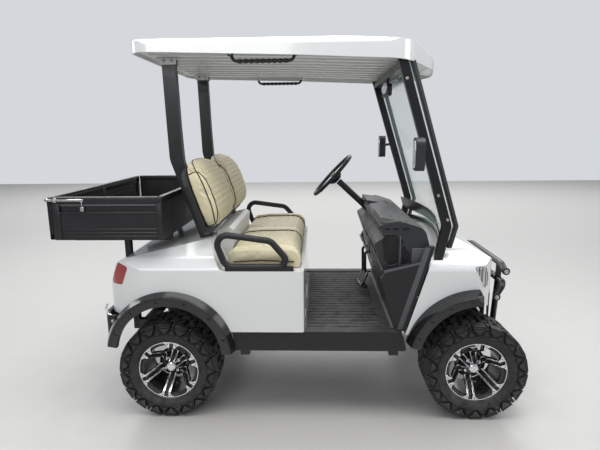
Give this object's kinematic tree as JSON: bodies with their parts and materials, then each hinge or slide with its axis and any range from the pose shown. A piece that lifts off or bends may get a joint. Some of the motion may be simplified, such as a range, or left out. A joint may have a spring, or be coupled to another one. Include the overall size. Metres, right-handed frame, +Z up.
{
  "type": "golf cart with cargo bed",
  "caption": "Open golf cart with a flat roof, a bench seat, all-terrain wheels and a drop-gate cargo bed behind the seat.",
  "frame": {"origin": "on the ground, below the middle of the length and width", "axes": "+X forward, +Y to the left, +Z up"},
  "size_m": [2.497, 1.3786, 2.024],
  "materials": {
    "body_white": "gloss",
    "seat_cover_white": "satin",
    "flare_black": "gloss",
    "trim_dark": "textured",
    "dash_grey": "textured",
    "frame_black": "semi-gloss",
    "axle_steel": "satin",
    "box_black": "satin",
    "latch_chrome": "polished",
    "lamp_red": "gloss",
    "lamp_clear": "gloss",
    "screen_glass": "gloss",
    "seat_leather": "quilted",
    "rim_black": "machined edges",
    "tyre_rubber": "matte",
    "battery_case": "matte"
  },
  "bodies": {
    "cart": {"rear_body": "body_white", "front_cowl": "body_white", "roof": "body_white", "seat_cover": "seat_cover_white", "roof_liner": "seat_cover_white", "roof_brackets": "seat_cover_white", "front_flare_left": "flare_black", "front_flare_right": "flare_black", "rear_flare_left": "flare_black", "rear_flare_right": "flare_black", "rocker_panels": "trim_dark", "side_panels": "trim_dark", "front_fascia": "trim_dark", "rear_bumper": "trim_dark", "seat_back_shell": "trim_dark", "armrests": "trim_dark", "roof_handles": "trim_dark", "pedals": "trim_dark", "dash": "dash_grey", "floor_pan": "dash_grey", "side_mirrors": "dash_grey", "interior_mirror": "dash_grey", "rear_struts": "frame_black", "windscreen_frame": "frame_black", "brush_guard": "frame_black", "chassis_frame": "frame_black", "bed_supports": "frame_black", "steering_column": "frame_black", "front_axle": "axle_steel", "rear_axle": "axle_steel", "leaf_springs": "axle_steel", "cargo_bed": "box_black", "bed_latches": "latch_chrome", "bed_hinges": "latch_chrome", "tail_lamps": "lamp_red", "headlights": "lamp_clear", "windscreen_glass": "screen_glass", "seat_cushion": "seat_leather", "backrest_left": "seat_leather", "backrest_right": "seat_leather", "battery_pack": "battery_case"},
    "steering_wheel": {"steering_wheel": "trim_dark"},
    "knuckle_right": {"knuckle_right": "axle_steel"},
    "knuckle_left": {"knuckle_left": "axle_steel"},
    "pitman_arm": {"pitman_arm": "axle_steel"},
    "tie_rod": {"tie_rod": "axle_steel"},
    "wheel_front_right": {"rim_front_right": "rim_black", "tyre_front_right": "tyre_rubber"},
    "wheel_front_left": {"rim_front_left": "rim_black", "tyre_front_left": "tyre_rubber"},
    "wheel_rear_right": {"rim_rear_right": "rim_black", "tyre_rear_right": "tyre_rubber"},
    "wheel_rear_left": {"rim_rear_left": "rim_black", "tyre_rear_left": "tyre_rubber"},
    "tailgate": {"tailgate": "box_black"}
  },
  "joints": [
    {"name": "steering_wheel_turn", "type": "hinge", "parent": "cart", "child": "steering_wheel", "pos_m": [0.2325, 0.35, 1.253], "axis": [-0.7314, 0, 0.682], "range_deg": [-400, 400]},
    {"name": "knuckle_right_turn", "type": "hinge", "parent": "cart", "child": "knuckle_right", "pos_m": [0.9765, -0.325, 0.272], "axis": [0, 0, 1], "range_deg": [-25, 25]},
    {"name": "knuckle_left_turn", "type": "hinge", "parent": "cart", "child": "knuckle_left", "pos_m": [0.9765, 0.325, 0.272], "axis": [0, 0, 1], "range_deg": [-25, 25]},
    {"name": "pitman_arm_turn", "type": "hinge", "parent": "cart", "child": "pitman_arm", "pos_m": [0.9765, 0, 0.272], "axis": [0, 0, 1], "range_deg": [-25, 25]},
    {"name": "tie_rod_turn", "type": "hinge", "parent": "knuckle_right", "child": "tie_rod", "pos_m": [0.8665, -0.325, 0.215], "axis": [0, 0, 1], "range_deg": [-25, 25]},
    {"name": "wheel_front_right_roll", "type": "hinge", "parent": "knuckle_right", "child": "wheel_front_right", "pos_m": [0.9765, -0.478, 0.272], "axis": [0, 1, 0], "continuous": true},
    {"name": "wheel_front_left_roll", "type": "hinge", "parent": "knuckle_left", "child": "wheel_front_left", "pos_m": [0.9765, 0.478, 0.272], "axis": [0, 1, 0], "continuous": true},
    {"name": "wheel_rear_right_roll", "type": "hinge", "parent": "cart", "child": "wheel_rear_right", "pos_m": [-0.6935, -0.478, 0.272], "axis": [0, 1, 0], "continuous": true},
    {"name": "wheel_rear_left_roll", "type": "hinge", "parent": "cart", "child": "wheel_rear_left", "pos_m": [-0.6935, 0.478, 0.272], "axis": [0, 1, 0], "continuous": true},
    {"name": "tailgate_drop", "type": "hinge", "parent": "cart", "child": "tailgate", "pos_m": [-1.2415, 0, 1.024], "axis": [0, -1, 0], "range_deg": [0, 175]}
  ],
  "couplings": [
    {"joint": "knuckle_right_turn", "follows": "steering_wheel_turn", "ratio": 0.0625},
    {"joint": "knuckle_left_turn", "follows": "steering_wheel_turn", "ratio": 0.0625},
    {"joint": "pitman_arm_turn", "follows": "steering_wheel_turn", "ratio": 0.0625},
    {"joint": "tie_rod_turn", "follows": "steering_wheel_turn", "ratio": -0.0625}
  ]
}
